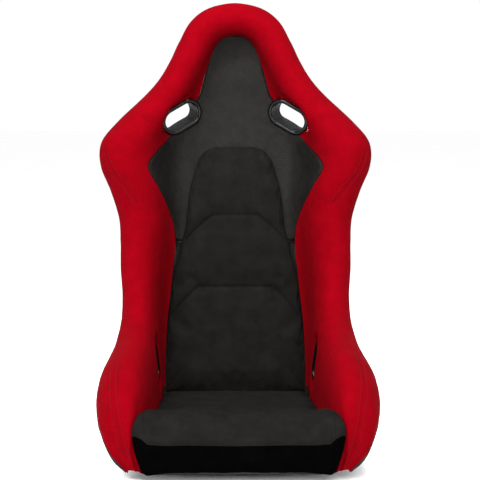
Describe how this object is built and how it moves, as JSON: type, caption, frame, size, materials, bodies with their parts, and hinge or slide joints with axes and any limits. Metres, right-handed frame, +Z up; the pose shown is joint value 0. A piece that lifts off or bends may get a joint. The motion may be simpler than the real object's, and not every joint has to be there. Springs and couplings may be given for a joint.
{
  "type": "racing seat",
  "caption": "Fixed-back bucket racing seat with high padded bolsters, harness slots, lift-off cushions and side mounting points.",
  "frame": {"origin": "middle of the bounding box, on the floor under the seat", "axes": "+Z up, the sitter looks along -Y, the sitter's left is +X"},
  "size_m": [0.563, 0.6508, 0.9086],
  "materials": {
    "shell": "black gel coat on glass fibre",
    "trim": "satin edging",
    "foam": "moulded foam",
    "red_cover": "brushed knit velour",
    "vinyl": "woven-look embossed vinyl",
    "cushion_cloth": "brushed microfibre cloth",
    "liner": "black lining cloth",
    "bezel": "glossy moulded plastic",
    "steel": "zinc plated",
    "dark_steel": "black oxide"
  },
  "bodies": {
    "seat": {"shell": "shell", "edge_trim": "trim", "bolster_foam_left": "foam", "bolster_foam_right": "foam", "head_foam": "foam", "bolster_cover": "red_cover", "shoulder_panel": "vinyl", "shoulder_panel_foam": "foam", "pan_liner": "liner", "back_liner": "liner", "shoulder_bezel_left": "bezel", "shoulder_bezel_left_rear_ring": "bezel", "shoulder_bezel_left_screw_1": "dark_steel", "shoulder_bezel_left_screw_2": "dark_steel", "hip_bezel_left": "bezel", "hip_bezel_left_rear_ring": "bezel", "hip_bezel_left_screw_1": "dark_steel", "hip_bezel_left_screw_2": "dark_steel", "shoulder_bezel_right": "bezel", "shoulder_bezel_right_rear_ring": "bezel", "shoulder_bezel_right_screw_1": "dark_steel", "shoulder_bezel_right_screw_2": "dark_steel", "hip_bezel_right": "bezel", "hip_bezel_right_rear_ring": "bezel", "hip_bezel_right_screw_1": "dark_steel", "hip_bezel_right_screw_2": "dark_steel", "mount_plate_left": "dark_steel", "mount_insert_left_front": "steel", "mount_bolt_left_front": "dark_steel", "mount_insert_left_rear": "steel", "mount_bolt_left_rear": "dark_steel", "mount_plate_right": "dark_steel", "mount_insert_right_front": "steel", "mount_bolt_right_front": "dark_steel", "mount_insert_right_rear": "steel", "mount_bolt_right_rear": "dark_steel"},
    "seat_cushion": {"seat_cushion": "cushion_cloth"},
    "back_cushion": {"back_cushion": "cushion_cloth"}
  },
  "joints": [
    {"name": "seat_cushion_lift", "type": "slide", "parent": "seat", "child": "seat_cushion", "axis": [0, -0.866, 0.5], "range_m": [0, 0.35]},
    {"name": "back_cushion_lift", "type": "slide", "parent": "seat", "child": "back_cushion", "axis": [0, -0.98, 0.199], "range_m": [0, 0.25]}
  ]
}
